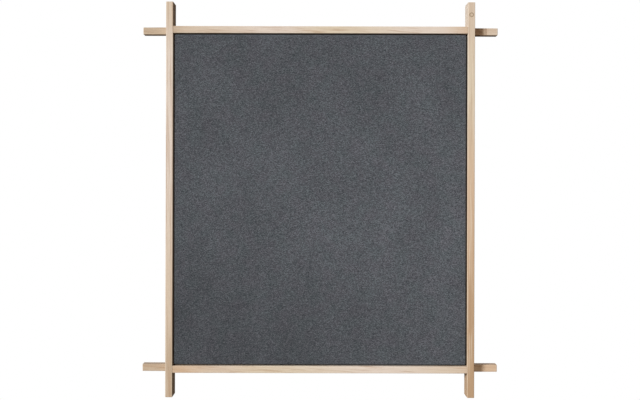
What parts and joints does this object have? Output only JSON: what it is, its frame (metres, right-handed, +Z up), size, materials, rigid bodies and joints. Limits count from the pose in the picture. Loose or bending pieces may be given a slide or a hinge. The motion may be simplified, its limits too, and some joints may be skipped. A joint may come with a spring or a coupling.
{
  "type": "pinboard",
  "caption": "Wall pinboard: slim pale wood bars that cross at the corners and end in short horns, round a recessed panel of dark grey woven cloth over a soft core.",
  "frame": {"origin": "on the wall plane, midway between the two wall screws that the keyhole plates hang on, 386.8 mm above the board's middle", "axes": "+X to the right seen from the front, +Y into the wall, +Z up; the front faces -Y"},
  "size_m": [0.85, 0.03, 0.94],
  "materials": {
    "bar_wood": "matte",
    "cleat_wood": "matte",
    "cloth": "matte",
    "softboard": "matte",
    "hardboard": "matte",
    "zinc_steel": "satin"
  },
  "bodies": {
    "root": {"left_stile": "bar_wood", "right_stile": "bar_wood", "top_rail": "bar_wood", "bottom_rail": "bar_wood", "fabric_cover": "cloth", "pin_core": "softboard", "backer_panel": "hardboard", "cleat_left": "cleat_wood", "cleat_right": "cleat_wood", "cleat_top": "cleat_wood", "cleat_bottom": "cleat_wood", "hanger_left": "zinc_steel", "hanger_right": "zinc_steel", "corner_screw_bottom_left": "zinc_steel", "corner_screw_bottom_right": "zinc_steel", "corner_screw_top_left": "zinc_steel", "corner_screw_top_right": "zinc_steel", "cleat_screw_left_1": "zinc_steel", "cleat_screw_left_2": "zinc_steel", "cleat_screw_left_3": "zinc_steel", "cleat_screw_right_1": "zinc_steel", "cleat_screw_right_2": "zinc_steel", "cleat_screw_right_3": "zinc_steel", "cleat_screw_bottom_1": "zinc_steel", "cleat_screw_bottom_2": "zinc_steel", "cleat_screw_bottom_3": "zinc_steel", "cleat_screw_top_1": "zinc_steel", "cleat_screw_top_2": "zinc_steel", "cleat_screw_top_3": "zinc_steel", "panel_screw_left_1": "zinc_steel", "panel_screw_left_2": "zinc_steel", "panel_screw_left_3": "zinc_steel", "panel_screw_left_4": "zinc_steel", "panel_screw_right_1": "zinc_steel", "panel_screw_right_2": "zinc_steel", "panel_screw_right_3": "zinc_steel", "panel_screw_right_4": "zinc_steel", "panel_screw_bottom_1": "zinc_steel", "panel_screw_bottom_2": "zinc_steel", "panel_screw_top_1": "zinc_steel", "panel_screw_top_2": "zinc_steel", "hanger_screw_left_inner": "zinc_steel", "hanger_screw_left_outer": "zinc_steel", "hanger_screw_right_inner": "zinc_steel", "hanger_screw_right_outer": "zinc_steel"}
  },
  "joints": []
}
